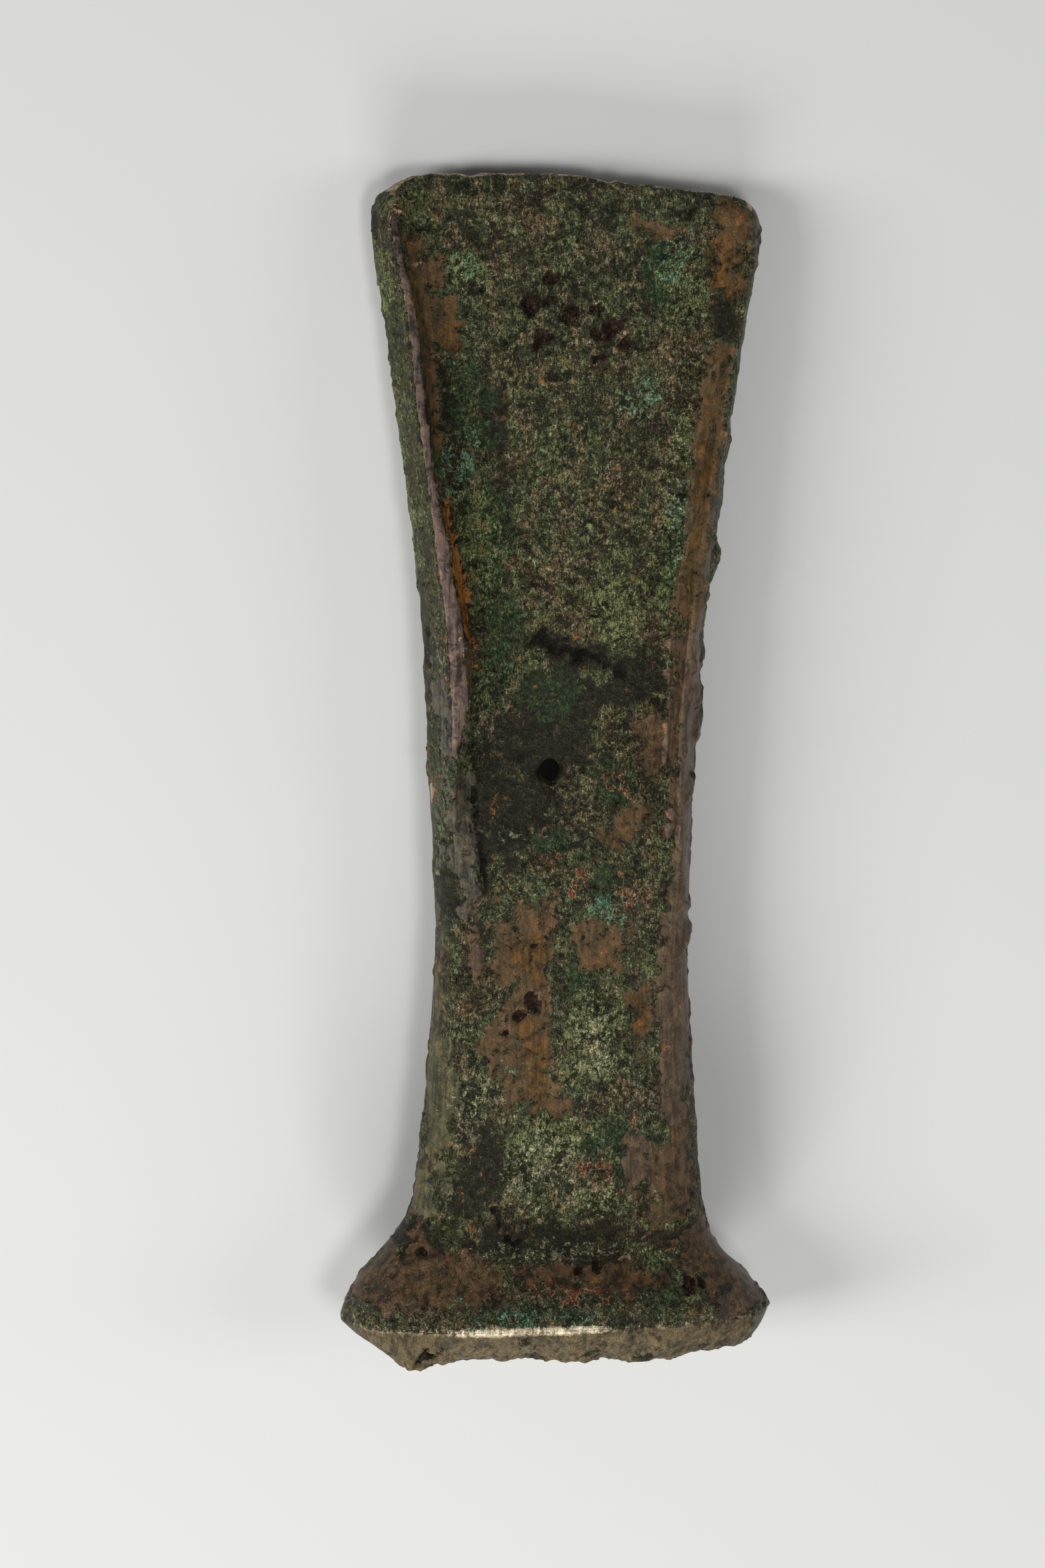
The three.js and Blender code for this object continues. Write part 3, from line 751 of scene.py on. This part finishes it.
FINISHES = [
    Finish("dark", (13, 13, 7), (30, 27, 15), share=0.85, edge=0.56),
    Finish("emerald", (12, 26, 14), (48, 76, 42), share=0.7, edge=0.66, ragged=1.8, rough=0.42),
    Finish("moss", (20, 26, 7), (60, 66, 25), share=0.75, edge=0.62, ragged=2.2),
    Finish("malachite", (48, 56, 30), (114, 124, 80), share=0.7, edge=0.84, ragged=2.4, rough=0.6),
    Finish("grey", (42, 39, 33), (90, 84, 74), share=0.85, edge=0.54, ragged=0.9, metal=0.25, rough=0.34),
    Finish(
        "clean", (52, 37, 20), (94, 68, 42),
        share=0.88, ragged=2.0, metal=0.15, rough=0.38, fringed=True,
    ),
    Finish("umber", (40, 29, 19), (92, 69, 49), share=0.85, edge=0.58, ragged=1.5, metal=0.3, rough=0.34),
    Finish("olive", (34, 34, 20), (86, 84, 58), share=0.85, edge=0.56, ragged=1.3, metal=0.2, rough=0.34),
    Finish("orange", (54, 36, 12), (108, 74, 27), share=0.6, edge=0.78, ragged=2.6, metal=0.4, rough=0.4),
    Finish("mauve", (54, 42, 32), (94, 76, 62), share=0.9, edge=0.54, ragged=1.2, metal=0.15, rough=0.36),
    Finish("crest", (44, 37, 37), (114, 96, 91), share=0.92, edge=0.50, ragged=0.4, metal=0.35, rough=0.34),
    Finish("rust", (80, 48, 18), (158, 98, 36), share=0.82, edge=0.50, ragged=2.4, metal=0.1, rough=0.4),
    Finish("tan", (42, 36, 24), (98, 84, 59), share=0.85, edge=0.55, ragged=0.9, metal=0.3, rough=0.4),
    # The rim: partly rubbed metal, its near-white colour a painted highlight.
    Finish(
        "rim", (150, 136, 114), (246, 234, 212),
        share=0.9, edge=0.62, ragged=0.9, blur=0.34, metal=0.2, rough=0.3,
    ),
    # Worn metal, coloured light to paint glints and highlights on it.
    Finish("worn", (110, 90, 66), (196, 172, 140), share=0.9, edge=0.56, ragged=0.8, metal=0.9, rough=0.26),
    Finish("pale", (70, 72, 50), (158, 156, 128), share=0.58, edge=1.04, ragged=2.8, rough=0.6),
    Finish("teal", (20, 62, 48), (96, 146, 120), share=0.65, edge=1.14, ragged=3.0),
    Finish(
        "red", (22, 40, 24), (112, 50, 28),
        share=0.75, edge=0.90, ragged=2.4, rough=0.28, crystalline=True,
    ),
    Finish("pit", (22, 13, 9), (50, 30, 22), share=0.95, edge=0.42, ragged=0.6, rough=0.36),
    # Near-black: painted shade down in the cracks.
    Finish("crack", (4, 4, 3), (14, 13, 8), share=0.9, edge=0.5, ragged=0.7, rough=0.6),
]
FRINGE = colour(98, 128, 96)
CRYSTAL_EDGE = colour(146, 138, 112)
FROST = colour(168, 166, 134)
# Pale specks, partly dust and partly painted sparkle highlights.
DUST_AND_SPARKLE = colour(206, 198, 170)
CRYSTAL_SIZE, BEAD_SIZE = 1.1, 0.9
SHINE = 0.24
BUMP_HEIGHT = 0.6 * MM


class Bronze(Nodes):
    """The noises that the axe's material is made of, and what is made of them, layer by layer."""

    def __init__(self, name):
        super().__init__(name)
        self.broad = self.noise(9, 3)
        self.mottle = self.noise(4.2, 4, 0.55, 0.6)
        self.tint = self.noise(14, 2, place=self.scaled(self.place, (1, 0.8, 1.1)))
        self.hue = self.noise(3.2, 4, 0.6, place=self.scaled(self.place, (1.1, 0.7, 0.9)))
        raised = self.maths("SUBTRACT", self.mark("raised"), 0.5)
        self.middle = self.maths("MULTIPLY_ADD", raised, 0.3, self.noise(1.8, 7, 0.70, 1.0))
        self.fine = self.noise(0.65, 5, 0.72, 0.8)
        self.fibre = self.noise(0.34, 4, 0.66, 1.6, self.scaled(self.place, (1, 0.3, 1)))
        self.thread = self.noise(0.26, 3, 0.6, 2.4, self.scaled(self.place, (0.6, 0.55, 1)))
        self.streak = self.noise(0.5, 4, 0.62, 0.3, self.scaled(self.place, (1, 0.07, 1)))
        self.speck = self.noise(0.24, 4, 0.75, 1.0)

    def crust(self):
        """Green and brown ground with paler clumps, pale strokes on them and dark gaps between."""
        ground = self.mix(self.ramp(self.tint, 0.42, 0.58), colour(34, 35, 18), colour(50, 39, 22))
        ground = self.mix(self.ramp(self.broad, 0.42, 0.60, 0, 0.7), ground, colour(38, 50, 28))
        ground = self.mix(self.ramp(self.mottle, 0.50, 0.64, 0, 0.5), ground, colour(72, 76, 52))
        ground = self.mix(self.ramp(self.mottle, 0.46, 0.36, 0, 0.55), ground, colour(22, 22, 12))
        clump = self.ramp(self.middle, 0.46, 0.58)
        clump_colour = self.mix(self.ramp(self.hue, 0.42, 0.58), colour(76, 86, 54), colour(94, 80, 58))
        surface = self.mix(self.maths("MULTIPLY", clump, 0.62), ground, clump_colour)
        stroke = self.maths("MULTIPLY", self.ramp(self.fine, 0.52, 0.58), self.ramp(clump, 0, 1, 0.3, 0.8))
        tip = self.mix(self.ramp(self.hue, 0.44, 0.56), colour(120, 134, 98), colour(142, 130, 104))
        surface = self.mix(stroke, surface, tip)
        surface = self.mix(self.ramp(self.middle, 0.44, 0.37, 0, 0.55), surface, colour(12, 12, 6))
        return self.mix(self.ramp(self.fine, 0.45, 0.39, 0, 0.8), surface, colour(9, 9, 4))

    def finished(self, surface):
        """The surface with every finish over it, and how bare, metallic and rough it then is."""
        bare, metal, rough = 0.0, 0.0, self.ramp(self.middle, 0.3, 0.7, 0.30, 0.50)
        for finish in FINISHES:
            reach = self.mark(finish.mark)
            for breaking in (self.fine, self.middle):
                offset = self.maths("SUBTRACT", breaking, 0.5)
                reach = self.maths("MULTIPLY_ADD", offset, finish.ragged, reach)
            if finish.fringed:
                fringe = self.ramp(reach, finish.edge - 0.30, finish.edge - 0.02, 0, 0.6)
                fringe = self.maths("MULTIPLY", fringe, self.ramp(self.fine, 0.42, 0.58))
                surface = self.mix(fringe, surface, FRINGE)
            share = self.ramp(reach, finish.edge - finish.blur, finish.edge + finish.blur, 0, finish.share)
            surface = self.mix(share, surface, self.finish_colour(finish))
            bare = self.blend(share, bare, 1.0 if finish.metal else 0.0)
            metal = self.blend(share, metal, finish.metal)
            rough = self.blend(share, rough, finish.rough)
        return surface, bare, metal, rough

    def finish_colour(self, finish):
        """From a finish's dark colour to its light one, by fine grain, or by streaks on metal."""
        if finish.crystalline:
            return self.crystals(finish)
        grain = self.fine
        if finish.metal:
            grain = self.maths("MULTIPLY_ADD", self.maths("SUBTRACT", self.streak, 0.5), 0.8, self.middle)
        return self.mix(self.ramp(grain, 0.36, 0.64), colour(*finish.dark), colour(*finish.light))

    def crystals(self, finish):
        """Small crystals, each of its own shade between a finish's two colours, with pale edges."""
        shade = self.ramp(self.voronoi(CRYSTAL_SIZE)["Color"], 0.36, 0.64)
        crystal = self.mix(shade, colour(*finish.dark), colour(*finish.light))
        from_edge = self.voronoi(CRYSTAL_SIZE, "DISTANCE_TO_EDGE")["Distance"]
        return self.mix(self.ramp(from_edge, 0.12, 0.0, 0, 0.6), crystal, CRYSTAL_EDGE)

    def weathered(self, surface, bare):
        """The surface with fibres, light and dark, frost on its lumps, and pale specks in patches, partly
        dust and partly painted sparkle highlights.
        """
        crusty = self.maths("SUBTRACT", 1, self.maths("MULTIPLY", bare, 0.9))
        fibrous = self.maths("MULTIPLY", crusty, self.ramp(self.mark("dark"), 0.4, 0.7, 1, 0.5))
        fibres = self.ramp(self.fibre, 0.40, 0.62, 0.22, 2.3)
        threads = self.ramp(self.thread, 0.40, 0.62, 0.38, 1.8)
        gain = self.blend(fibrous, 1.0, self.maths("MULTIPLY", fibres, threads))
        frosted = self.maths("MULTIPLY", fibrous, self.ramp(self.middle, 0.4, 0.6))
        frosted = self.maths("MULTIPLY", self.ramp(self.fibre, 0.57, 0.64, 0, 0.4), frosted)
        surface = self.mix(frosted, self.gained(surface, gain), FROST)
        patches = self.ramp(self.mottle, 0.40, 0.60, 0.1, 1)
        # Pale specks: partly dust, partly painted sparkle highlights.
        dust_and_sparkle = self.maths("MULTIPLY", self.ramp(self.speck, 0.67, 0.73, 0, 0.75), patches)
        return self.mix(dust_and_sparkle, surface, DUST_AND_SPARKLE)

    def bumps(self, bare):
        """The shader's normal, with grit on the crust and faint streaks on bare metal."""
        grit = self.maths("MULTIPLY_ADD", self.fibre, 0.5, self.fine)
        grit = self.maths("MULTIPLY_ADD", self.middle, 1.2, grit)
        grit = self.maths("MULTIPLY_ADD", self.voronoi(BEAD_SIZE)["Distance"], -0.5, grit)
        sleek = self.maths("MULTIPLY_ADD", self.streak, 0.07, self.maths("MULTIPLY", self.middle, 0.26))
        bump = self.tree.nodes.new("ShaderNodeBump")
        bump.inputs["Distance"].default_value = BUMP_HEIGHT
        bump.inputs["Strength"].default_value = 1.0
        self.put(bump.inputs["Height"], self.blend(bare, grit, sleek))
        return bump.outputs["Normal"]


def patinated_bronze():
    """The axe's one material: crust, the finishes over it, then fibres and pale specks over them all, the
    specks partly dust and partly painted sparkle highlights.
    """
    bronze = Bronze("patinated_bronze")
    surface, bare, metal, rough = bronze.finished(bronze.crust())
    unevenness = bronze.maths("SUBTRACT", bronze.fine, 0.5)
    inputs = bronze.shader.inputs
    bronze.put(inputs["Base Color"], bronze.weathered(surface, bare))
    bronze.put(inputs["Metallic"], metal)
    bronze.put(inputs["Roughness"], bronze.maths("MULTIPLY_ADD", unevenness, 0.3, rough))
    bronze.put(inputs["Normal"], bronze.bumps(bare))
    bronze.put(inputs["Specular IOR Level"], SHINE)
    return bronze.material


# ---- Making it all ---------------------------------------------------------------------------

make_camera()
make_floor()
make_sky()
for light in LIGHTS:
    make_light(light)

axe = dense_copy(NODE)
soften_rim(axe)
surface = Surface(axe)
surface.move()
surface.store_marks()
axe.data.materials.clear()
axe.data.materials.append(patinated_bronze())
axe.data.shade_smooth()

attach(axe, "root")
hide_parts(NODE)
